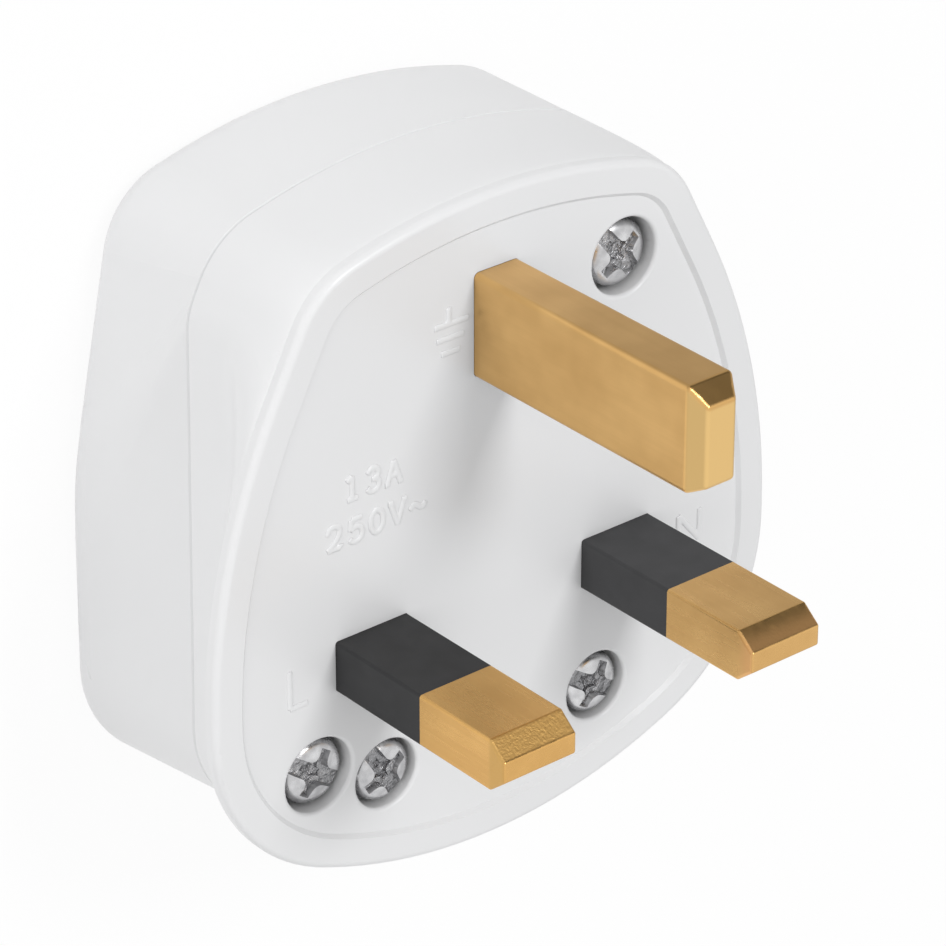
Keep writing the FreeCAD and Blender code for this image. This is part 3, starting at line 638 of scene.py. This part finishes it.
@dataclass
class Studio:
    """Camera, floor, surrounding light and lamps.

    The eye and the floor's level are in millimetres, and the floor's size and band and the sight in metres.
    Each way is a direction, and the band next to it is where its shade begins and ends.
    """

    eye: Place = (-186.446, 157.358, 222.076)
    up: Place = (0.30571854, 0.87791569, -0.36851081)
    forward: Place = (0.56031849, -0.47881523, -0.6758544)
    lens: float = 181.75
    sensor: float = 36.0
    sight: Spot = (0.01, 20.0)
    floor_level: float = -22.0
    floor_size: float = 8.0
    floor_paint: Colour = (0.93, 0.93, 0.93)
    floor_white: float = 0.93
    # The floor's glow in reflections is painted darker along this way and band, down to floor_dim
    floor_way: Place = (0.62, 0.78, 0.0)
    floor_band: Spot = (0.015, 0.055)
    floor_dim: float = 0.5
    sky_band: Spot = (0.0, 0.9)
    horizon_dim: float = 0.72
    surround: float = 0.69
    far_way: Place = (0.756, 0.655, 0.0)
    far_band: Spot = (0.1, 1.0)
    far_dim: float = 0.7
    drape_way: Place = (0.56, 0.76, 0.33)
    drape_band: Spot = (0.72, 0.95)
    drape_dim: float = 0.14
    lamps: tuple[Lamp, ...] = (
        Lamp("key_lamp", (130.0, 464.0, 760.0), size=250.0, power=3.05),
        Lamp("side_lamp", (-760.0, 300.0, 220.0), size=900.0, power=2.8, mirrored=False),
    )

    def build(self) -> None:
        """Builds the whole studio."""
        bpy.context.scene.view_settings.view_transform = "Standard"
        self.build_camera()
        self.build_floor()
        self.build_world()
        for lamp in self.lamps:
            lamp.build()
        LOG.info("studio: %d lamps", len(self.lamps))

    def build_camera(self) -> None:
        """Builds the camera at the photograph's place."""
        camera = bpy.data.cameras.new("camera")
        camera.lens = self.lens
        camera.sensor_width = self.sensor
        camera.clip_start, camera.clip_end = self.sight
        holder = bpy.data.objects.new("camera", camera)
        bpy.context.scene.collection.objects.link(holder)
        up, forward = Vector(self.up), Vector(self.forward)
        turn = Matrix((forward.cross(up), up, -forward)).transposed().to_4x4()
        holder.matrix_world = Matrix.Translation(Vector(self.eye) * MM) @ turn
        bpy.context.scene.camera = holder

    def sort_rays(self, board: NodeBoard) -> tuple[Socket, Socket]:
        """Tells rays that look from rays that mirror.

        Args:
            board: the board of the floor's or the world's tree.
        Returns:
            The mask of rays from the camera or through glass, and the mask of rays from a gloss.
        """
        path = board.add("ShaderNodeLightPath")
        looks = board.math("MAXIMUM", path.outputs["Is Camera Ray"], path.outputs["Is Transmission Ray"])
        return looks, path.outputs["Is Glossy Ray"]

    def build_floor(self) -> None:
        """Builds the pale floor that the plug lies on, evenly white to the camera, with its glow in
        reflections painted darker along floor_way.
        """
        deselect_all()
        bpy.ops.mesh.primitive_plane_add(size=self.floor_size, location=(0.0, 0.0, self.floor_level * MM))
        floor = bpy.context.object
        floor.name = "floor"
        material = bpy.data.materials.new("pale floor")
        material.use_nodes = True
        board = NodeBoard(material.node_tree)
        board.tree.nodes.remove(board.tree.nodes["Principled BSDF"])
        paint = board.add("ShaderNodeBsdfDiffuse", {"Color": rgba(self.floor_paint)})
        looks, mirrors = self.sort_rays(board)
        place = board.add("ShaderNodeTexCoord").outputs["Object"]
        # Painted reflection: in mirrored rays the floor's glow fades along floor_way to floor_dim, a dark
        # patch that only reflections show
        painted_reflection_dimming = board.remap(board.along(place, self.floor_way), *self.floor_band, 1.0, self.floor_dim)
        glow = board.add("ShaderNodeEmission", {"Strength": board.mix(mirrors, 1.0, painted_reflection_dimming)})
        share = board.math("MULTIPLY", board.math("MAXIMUM", looks, mirrors), self.floor_white)
        mixed = board.add("ShaderNodeMixShader", {0: share, 1: paint.outputs[0], 2: glow.outputs[0]})
        board.tree.links.new(mixed.outputs[0], board.tree.nodes["Material Output"].inputs[0])
        floor.data.materials.append(material)

    def build_world(self) -> None:
        """Builds the light all round, darker at the horizon, on the far side and in a mirrored drape."""
        world = bpy.data.worlds.new("studio")
        world.use_nodes = True
        board = NodeBoard(world.node_tree)
        direction = board.add("ShaderNodeTexCoord").outputs["Generated"]
        height = board.add("ShaderNodeSeparateXYZ", {0: direction}).outputs[2]
        sky = board.remap(height, *self.sky_band, self.horizon_dim, 1.0)
        drape = board.remap(board.along(direction, self.drape_way), *self.drape_band, 1.0, self.drape_dim)
        far_light = self.surround * self.far_dim
        far = board.remap(board.along(direction, self.far_way), *self.far_band, self.surround, far_light)
        looks, mirrors = self.sort_rays(board)
        lit = board.math("MULTIPLY", sky, board.mix(mirrors, far, drape))
        strength = board.mix(looks, lit, 1.0)
        background = board.tree.nodes["Background"]
        board.tree.links.new(strength, background.inputs["Strength"])
        background.inputs["Color"].default_value = rgba((1.0, 1.0, 1.0))
        bpy.context.scene.world = world


@dataclass
class Workshop:
    """Keeps the finishes and gives them to pieces and solids."""

    effects: Effects
    made: dict[str, bpy.types.Material] = field(default_factory=dict)

    def dress(self, piece: bpy.types.Object, finish: MouldedFinish | MetalFinish) -> None:
        """Gives a piece one finish all over.

        Args:
            piece: the object to dress.
            finish: its finish.
        """
        if finish.name not in self.made:
            self.made[finish.name] = finish.make(self.effects)
        piece.data.materials.clear()
        piece.data.materials.append(self.made[finish.name])

    def carry(self, piece: bpy.types.Object, finish: MouldedFinish | MetalFinish) -> None:
        """Dresses a new piece and fixes it to the plug.

        Args:
            piece: the new object.
            finish: its finish.
        """
        self.dress(piece, finish)
        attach(piece, "root")
        LOG.info("%s: %d faces", piece.name, len(piece.data.polygons))


@dataclass
class Solids:
    """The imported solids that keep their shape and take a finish."""

    finishes: tuple[tuple[MouldedFinish | MetalFinish, tuple[str, ...]], ...] = (
        (WHITE, ("base", "cover")),
        (EARTH_BRASS, ("earth_pin",)),
        (NEUTRAL_BRASS, ("neutral_pin",)),
        (SHADED_LINE_BRASS, ("line_pin",)),
        (SLEEVE, ("neutral_sleeve",)),
        (SHADED_LINE_SLEEVE, ("line_sleeve",)),
        (TERMINAL_BRASS, (
            "line_terminal", "line_pin_fuse_clip", "terminal_fuse_clip", "clip_rivets",
            "fuse_wire", "terminal_screws", "cover_inserts",
        )),
        (CERAMIC, ("fuse_barrel",)),
        (NICKEL, ("fuse_cap_lower", "fuse_cap_upper")),
        (NYLON, ("cord_grip",)),
        (COVER_PLATING, ("cover_screws",)),
        (GRIP_PLATING, ("cord_grip_screws",)),
    )

    def dress(self, workshop: Workshop) -> None:
        """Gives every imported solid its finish.

        Args:
            workshop: what makes and gives the finishes.
        """
        for finish, nodes in self.finishes:
            for node in nodes:
                workshop.dress(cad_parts[node], finish)
                LOG.info("%s: %s", node, finish.name)


@dataclass(frozen=True)
class Punch:
    """A four armed punch with rounded inner corners, which cuts one level of a drive, in millimetres.

    Two arms lie along the slot, and the other two are its wings. The foot is the top times the taper, and
    faces that differ by less than the flat angle, in radians, are made one.
    """

    reach: float
    width: float
    wing_reach: float
    wing_width: float
    depth: float
    taper: float
    corner: float
    corner_steps: int = 5
    over: float = 0.3
    slack: float = 1e-3
    flat_angle: float = 0.01

    def build(self) -> bpy.types.Object:
        """Models the punch, its top a little over the head.

        Returns:
            The punch.
        """
        deselect_all()
        bpy.ops.mesh.primitive_plane_add(size=1.0, location=(0.0, 0.0, self.over))
        punch = bpy.context.object
        punch.scale = (self.wing_width, self.width, 1.0)
        bpy.ops.object.transform_apply(location=True, scale=True)
        bpy.ops.object.mode_set(mode="EDIT")
        for axis, across, length in ((0, self.wing_width, self.reach), (1, self.width, self.wing_reach)):
            for sign in (1, -1):
                pick(punch, Element.EDGE, partial(self.is_middle_edge, axis, sign * across / 2))
                move = [0.0, 0.0, 0.0]
                move[axis] = sign * (length - across / 2)
                bpy.ops.mesh.extrude_region_move(TRANSFORM_OT_translate={"value": move})
        bpy.ops.mesh.select_all(action="SELECT")
        drop = (0.0, 0.0, -self.depth - self.over)
        bpy.ops.mesh.extrude_region_move(TRANSFORM_OT_translate={"value": drop})
        bpy.ops.transform.resize(value=(self.taper, self.taper, 1.0))
        bpy.ops.mesh.select_all(action="SELECT")
        bpy.ops.mesh.normals_make_consistent(inside=False)
        bpy.ops.mesh.dissolve_limited(angle_limit=self.flat_angle)
        pick(punch, Element.EDGE, self.is_inner_corner)
        bpy.ops.mesh.bevel(offset=self.corner, segments=self.corner_steps, affect="EDGES")
        bpy.ops.object.mode_set(mode="OBJECT")
        return punch

    def is_middle_edge(self, axis: int, side: float, edge: Edge) -> bool:
        """Tells whether an edge lies on one side of the punch and spans its middle.

        Args:
            axis: the axis that the side faces.
            side: where the side is on that axis.
            edge: the edge to test.
        Returns:
            Whether it is the one.
        """
        on_side = all(abs(v.co[axis] - side) < NEAR for v in edge.verts)
        centre = (edge.verts[0].co + edge.verts[1].co) / 2
        return on_side and abs(centre[1 - axis]) < NEAR

    def is_inner_corner(self, edge: Edge) -> bool:
        """Tells whether an edge runs from top to foot where two arms meet.

        Args:
            edge: the edge to test.
        Returns:
            Whether it is one of the four.
        """
        upright = abs(edge.verts[0].co.z - edge.verts[1].co.z) > self.depth / 2
        x, y = self.wing_width / 2 + self.slack, self.width / 2 + self.slack
        return upright and all(abs(v.co.x) < x and abs(v.co.y) < y for v in edge.verts)


@dataclass
class PanScrew:
    """One pan head screw with a slot, a cross recess and a threaded shank, in millimetres.

    The slot's angle and the crease are in degrees. The edge angle, from which edges are rounded, is in
    radians.
    """

    name: str
    spot: Spot
    head_top: float
    head_diameter: float
    head_height: float
    shank_diameter: float
    shank_length: float
    slot_angle: float
    head_sides: int = 64
    head_round: float = 0.85
    head_steps: int = 8
    dome_steps: tuple[Spot, ...] = ((0.6, 0.13), (0.6, 0.06))
    slot_width: float = 1.35
    slot_depth: float = 0.55
    slot_over: float = 0.4
    slot_taper: float = 0.86
    wing_reach: float = 1.95
    wing_width: float = 0.92
    petal_round: float = 0.6
    pit_reach: float = 1.5
    pit_width: float = 0.75
    pit_depth: float = 0.85
    pit_taper: float = 0.6
    edge_round: float = 0.05
    edge_steps: int = 2
    edge_angle: float = 0.7
    tip_length: float = 0.6
    tip_taper: float = 0.7
    thread_pitch: float = 0.9
    thread_depth: float = 0.32
    thread_start: float = 0.8
    thread_sides: int = 3
    thread_steps: int = 24
    crease: float = 24.0

    def build(self) -> bpy.types.Object:
        """Models the screw and puts it in its place.

        Returns:
            The finished screw.
        """
        screw = self.build_body()
        slot = Punch(
            reach=self.head_diameter / 2 + self.slot_over, width=self.slot_width,
            wing_reach=self.wing_reach, wing_width=self.wing_width,
            depth=self.slot_depth, taper=self.slot_taper, corner=self.petal_round,
        )
        pit = Punch(
            reach=self.pit_reach, width=self.pit_width, wing_reach=self.pit_reach, wing_width=self.pit_width,
            depth=self.pit_depth, taper=self.pit_taper,
            corner=self.petal_round * (self.pit_reach / self.wing_reach),
        )
        self.cut(screw, slot.build())
        self.cut(screw, pit.build())
        apply_modifier(
            screw, "BEVEL", width=self.edge_round, segments=self.edge_steps,
            limit_method="ANGLE", angle_limit=self.edge_angle,
        )
        self.clean(screw)
        self.add_thread(screw)
        settle(screw, (*self.spot, self.head_top), self.slot_angle, self.crease)
        return screw

    def build_body(self) -> bpy.types.Object:
        """Models the rounded head with its plain shank, the head's top at the origin and its dome above it.

        Returns:
            The head and shank in one mesh.
        """
        deselect_all()
        radius = self.head_diameter / 2
        bpy.ops.mesh.primitive_cylinder_add(
            vertices=self.head_sides, radius=radius, depth=self.head_height,
            location=(0.0, 0.0, -self.head_height / 2),
        )
        body = bpy.context.object
        body.name = self.name
        bpy.ops.object.transform_apply(location=True)
        bpy.ops.object.mode_set(mode="EDIT")
        pick(body, Element.EDGE, lambda e: all(abs(v.co.z) < NEAR for v in e.verts))
        bpy.ops.mesh.bevel(offset=self.head_round, segments=self.head_steps, affect="EDGES")
        pick(body, Element.FACE, lambda f: f.normal.z > FACING and len(f.verts) > QUAD_CORNERS)
        for inset, rise in self.dome_steps:
            bpy.ops.mesh.inset(thickness=inset)
            bpy.ops.transform.translate(value=(0.0, 0.0, rise))
        pick(body, Element.FACE, lambda f: f.normal.z < -FACING)
        core = self.shank_diameter / 2 - self.thread_depth
        bpy.ops.mesh.inset(thickness=radius - core)
        for length in (self.shank_length - self.tip_length, self.tip_length):
            bpy.ops.mesh.extrude_region_move(TRANSFORM_OT_translate={"value": (0.0, 0.0, -length)})
        bpy.ops.transform.resize(value=(self.tip_taper, self.tip_taper, 1.0))
        bpy.ops.object.mode_set(mode="OBJECT")
        return body

    def cut(self, screw: bpy.types.Object, punch: bpy.types.Object) -> None:
        """Cuts a punch out of the head and throws the punch away.

        Args:
            screw: the screw to cut.
            punch: the shape to take out.
        """
        apply_modifier(screw, "BOOLEAN", operation="DIFFERENCE", object=punch, solver="MANIFOLD")
        bpy.data.objects.remove(punch)

    def clean(self, screw: bpy.types.Object) -> None:
        """Takes out the faces that cutting and bevelling left without area.

        Args:
            screw: the screw to clean.
        """
        activate(screw)
        bpy.ops.object.mode_set(mode="EDIT")
        bpy.ops.mesh.select_all(action="SELECT")
        bpy.ops.mesh.dissolve_degenerate(threshold=NEAR)
        bpy.ops.object.mode_set(mode="OBJECT")

    def add_thread(self, screw: bpy.types.Object) -> None:
        """Winds a thread round the shank and joins it to the screw.

        Args:
            screw: the screw that takes the thread.
        """
        deselect_all()
        core = self.shank_diameter / 2 - self.thread_depth
        start = (core, 0.0, -self.head_height - self.shank_length + self.thread_start)
        bpy.ops.mesh.primitive_circle_add(
            vertices=self.thread_sides, radius=self.thread_depth, location=start
        )
        thread = bpy.context.object
        thread.rotation_euler = (math.pi / 2, 0.0, 0.0)
        bpy.ops.object.transform_apply(location=True, rotation=True)
        bpy.ops.object.mode_set(mode="EDIT")
        bpy.ops.mesh.select_all(action="SELECT")
        bpy.ops.transform.rotate(value=math.pi / 2, orient_axis="Y", center_override=start)
        bpy.ops.object.mode_set(mode="OBJECT")
        turns = int((self.shank_length - 2 * self.thread_start) / self.thread_pitch)
        apply_modifier(
            thread, "SCREW", angle=math.tau, screw_offset=self.thread_pitch, iterations=turns,
            steps=self.thread_steps, render_steps=self.thread_steps, use_normal_calculate=True,
        )
        bpy.ops.object.mode_set(mode="EDIT")
        bpy.ops.mesh.select_all(action="SELECT")
        bpy.ops.mesh.remove_doubles(threshold=NEAR)
        pick(thread, Element.EDGE, lambda e: e.is_boundary)
        bpy.ops.mesh.edge_face_add()
        bpy.ops.mesh.select_all(action="SELECT")
        bpy.ops.mesh.normals_make_consistent(inside=False)
        bpy.ops.object.mode_set(mode="OBJECT")
        activate(screw)
        thread.select_set(True)
        bpy.ops.object.join()


COVER_SCREW = PanScrew(
    name="cover_screw_upper", spot=(11.6, 12.1), head_top=-0.8, head_diameter=5.1, head_height=1.9,
    shank_diameter=3.2, shank_length=12.5, slot_angle=-51.7,
)
GRIP_SCREW = PanScrew(
    name="grip_screw_right", spot=(9.5, -21.75), head_top=-0.55, head_diameter=4.8, head_height=1.7,
    shank_diameter=3.0, shank_length=10.2, slot_angle=-31.4,
)


@dataclass
class ScrewSet:
    """The four screws that show in the front panel."""

    cover: tuple[PanScrew, ...] = (
        COVER_SCREW,
        replace(COVER_SCREW, name="cover_screw_lower", spot=(-15.85, -19.3), slot_angle=-34.1),
    )
    grip: tuple[PanScrew, ...] = (
        GRIP_SCREW,
        replace(GRIP_SCREW, name="grip_screw_left", spot=(-9.9, -21.5), slot_angle=-60.4),
    )

    def build(self, workshop: Workshop) -> None:
        """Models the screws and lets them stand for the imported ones.

        Args:
            workshop: what gives the finishes.
        """
        for screws, node, finish in (
            (self.cover, "cover_screws", COVER_PLATING),
            (self.grip, "cord_grip_screws", GRIP_PLATING),
        ):
            for screw in screws:
                piece = screw.build()
                workshop.carry(piece, finish)
                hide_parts(node)


# Strokes of the signs, in shares of a sign's width and height from its middle
ONE: tuple[Stroke, ...] = (
    ((-0.36, 0.33), (0.04, 0.5)),
    ((0.04, 0.5), (0.04, -0.5)),
    ((-0.34, -0.5), (0.42, -0.5)),
)
TWO: tuple[Stroke, ...] = (
    ((-0.42, 0.18), (-0.33, 0.4), (0.0, 0.5), (0.33, 0.38), (0.36, 0.14), (0.1, -0.16), (-0.44, -0.5)),
    ((-0.44, -0.5), (0.42, -0.5)),
    ((0.42, -0.5), (0.46, -0.34)),
)
THREE: tuple[Stroke, ...] = (
    ((-0.4, 0.3), (-0.24, 0.46), (0.05, 0.5), (0.34, 0.36), (0.32, 0.14), (0.08, 0.03), (-0.12, 0.02)),
    ((-0.12, 0.02), (0.14, 0.02), (0.4, -0.13), (0.38, -0.36), (0.08, -0.5), (-0.24, -0.47), (-0.44, -0.3)),
)
FIVE: tuple[Stroke, ...] = (
    ((0.4, 0.5), (-0.3, 0.5)),
    ((-0.3, 0.5), (-0.36, 0.02)),
    ((-0.36, 0.02), (-0.08, 0.14), (0.24, 0.1), (0.42, -0.16), (0.3, -0.42), (0.0, -0.5), (-0.28, -0.46),
     (-0.42, -0.3)),
)
NOUGHT: tuple[Stroke, ...] = (
    ((0.0, 0.5), (0.28, 0.34), (0.38, 0.0), (0.28, -0.34), (0.0, -0.5), (-0.28, -0.34), (-0.38, 0.0),
     (-0.28, 0.34), (0.0, 0.5), (0.28, 0.34)),
)
LETTER_A: tuple[Stroke, ...] = (
    ((-0.46, -0.5), (0.0, 0.5)), ((0.0, 0.5), (0.46, -0.5)), ((-0.27, -0.14), (0.27, -0.14)),
    ((-0.62, -0.5), (-0.3, -0.5)), ((0.3, -0.5), (0.62, -0.5)),
)
LETTER_V: tuple[Stroke, ...] = (
    ((-0.46, 0.5), (0.0, -0.5)), ((0.0, -0.5), (0.46, 0.5)),
    ((-0.64, 0.5), (-0.28, 0.5)), ((0.28, 0.5), (0.64, 0.5)),
)
LETTER_L: tuple[Stroke, ...] = (((-0.5, 0.5), (-0.5, -0.5)), ((-0.5, -0.5), (0.5, -0.5)))
LETTER_N: tuple[Stroke, ...] = (
    ((-0.5, -0.5), (-0.5, 0.5)),
    ((-0.5, 0.5), (0.5, -0.5)),
    ((0.5, -0.5), (0.5, 0.5)),
)
WAVE: tuple[Stroke, ...] = (
    ((-0.5, -0.25), (-0.3, 0.32), (-0.08, 0.2), (0.1, -0.12), (0.3, -0.3), (0.5, 0.3)),
)
EARTH: tuple[Stroke, ...] = (
    ((-0.07, 0.5), (-0.07, 0.13)),
    ((-0.5, 0.13), (0.5, 0.13)),
    ((-0.43, -0.18), (0.36, -0.18)),
    ((-0.3, -0.5), (0.25, -0.5)),
)


@dataclass(frozen=True)
class Sign:
    """One sign of a mark: its strokes, its middle and its size in millimetres."""

    strokes: tuple[Stroke, ...]
    middle: Spot
    width: float
    height: float

    def drawn(self) -> list[list[Vector]]:
        """Gives the strokes at their places in millimetres."""
        x, y = self.middle
        return [[Vector((x + u * self.width, y + v * self.height, 0.0)) for u, v in s] for s in self.strokes]


@dataclass
class PanelMarks:
    """The raised marks of the front panel, in millimetres, with the crease in degrees."""

    panel_level: float = -0.3
    stroke_radius: float = 0.25
    stroke_rounding: int = 3
    bend_steps: int = 5
    rise: float = 0.5
    skin_step: float = 0.06
    skin_ease: float = 0.5
    skin_passes: int = 5
    crease: float = 38.0
    marks: tuple[tuple[str, tuple[Sign, ...]], ...] = (
        ("current_mark", (
            Sign(ONE, (-12.72, 2.36), 1.2, 1.75),
            Sign(THREE, (-10.86, 2.38), 1.2, 1.75),
            Sign(LETTER_A, (-9.08, 2.38), 1.25, 1.75),
        )),
        ("voltage_mark", (
            Sign(TWO, (-14.3, -0.97), 1.3, 1.75),
            Sign(FIVE, (-12.41, -0.97), 1.3, 1.75),
            Sign(NOUGHT, (-10.58, -0.92), 1.4, 1.75),
            Sign(LETTER_V, (-8.78, -0.92), 1.3, 1.75),
            Sign(WAVE, (-7.0, -1.02), 1.35, 0.62),
        )),
        ("line_mark", (Sign(LETTER_L, (-17.55, -11.45), 1.5, 3.0),)),
        ("neutral_mark", (Sign(LETTER_N, (18.2, -11.7), 2.05, 2.5),)),
        ("earth_mark", (Sign(EARTH, (-4.0, 11.55), 3.0, 3.4),)),
    )

    def build(self, workshop: Workshop) -> None:
        """Models every mark on the panel.

        Args:
            workshop: what gives the finishes.
        """
        for name, signs in self.marks:
            strokes = [stroke for sign in signs for stroke in sign.drawn()]
            piece = self.build_mark(name, strokes)
            workshop.carry(piece, WHITE)

    def build_mark(self, name: str, strokes: list[list[Vector]]) -> bpy.types.Object:
        """Models one mark from its strokes, half sunk in the panel.

        Args:
            name: the mark's name.
            strokes: the points of each stroke, in millimetres.
        Returns:
            The finished mark.
        """
        piece = self.thicken(self.draw(name, strokes))
        apply_modifier(piece, "REMESH", mode="VOXEL", voxel_size=self.skin_step)
        apply_modifier(piece, "SMOOTH", factor=self.skin_ease, iterations=self.skin_passes)
        piece.scale = (1.0, 1.0, self.rise)
        bpy.ops.object.transform_apply(scale=True)
        settle(piece, (0.0, 0.0, self.panel_level), 0.0, self.crease)
        return piece

    def draw(self, name: str, strokes: list[list[Vector]]) -> bpy.types.Object:
        """Draws the strokes of a mark as bare edges.

        Args:
            name: the mark's name.
            strokes: the points of each stroke, in millimetres.
        Returns:
            The drawn edges, selected.
        """
        deselect_all()
        bpy.ops.mesh.primitive_plane_add(size=1.0)
        piece = bpy.context.object
        piece.name = name
        bpy.ops.object.mode_set(mode="EDIT")
        bpy.ops.mesh.select_mode(type="VERT")
        bpy.ops.mesh.select_all(action="SELECT")
        bpy.ops.mesh.merge(type="CENTER")
        pen = Vector((0.0, 0.0, 0.0))
        for number, stroke in enumerate(strokes):
            if number == 0:
                bpy.ops.transform.translate(value=stroke[0] - pen)
            else:
                bpy.ops.mesh.duplicate_move(TRANSFORM_OT_translate={"value": stroke[0] - pen})
            pen = stroke[0]
            for point in stroke[1:]:
                bpy.ops.mesh.extrude_vertices_move(TRANSFORM_OT_translate={"value": point - pen})
                pen = point
        bpy.ops.object.mode_set(mode="OBJECT")
        return piece

    def thicken(self, piece: bpy.types.Object) -> bpy.types.Object:
        """Rounds the bends of the drawn edges and gives them a round section.

        Args:
            piece: the drawn edges, selected.
        Returns:
            The round strokes in one mesh.
        """
        bpy.ops.object.convert(target="CURVE")
        bpy.ops.object.mode_set(mode="EDIT")
        bpy.ops.curve.select_all(action="SELECT")
        bpy.ops.curve.spline_type_set(type="BEZIER")
        bpy.ops.curve.handle_type_set(type="AUTOMATIC")
        bpy.ops.object.mode_set(mode="OBJECT")
        line = piece.data
        line.dimensions = "3D"
        line.resolution_u = self.bend_steps
        line.bevel_depth = self.stroke_radius
        line.bevel_resolution = self.stroke_rounding
        line.use_fill_caps = True
        bpy.ops.object.convert(target="MESH")
        return bpy.context.object


def main() -> None:
    """Builds the studio, dresses the solids and adds the new pieces."""
    logging.basicConfig(level=logging.INFO, format="%(name)s %(message)s")
    Studio().build()
    workshop = Workshop(Effects())
    Solids().dress(workshop)
    ScrewSet().build(workshop)
    PanelMarks().build(workshop)
    deselect_all()


if __name__ == "__main__":
    main()
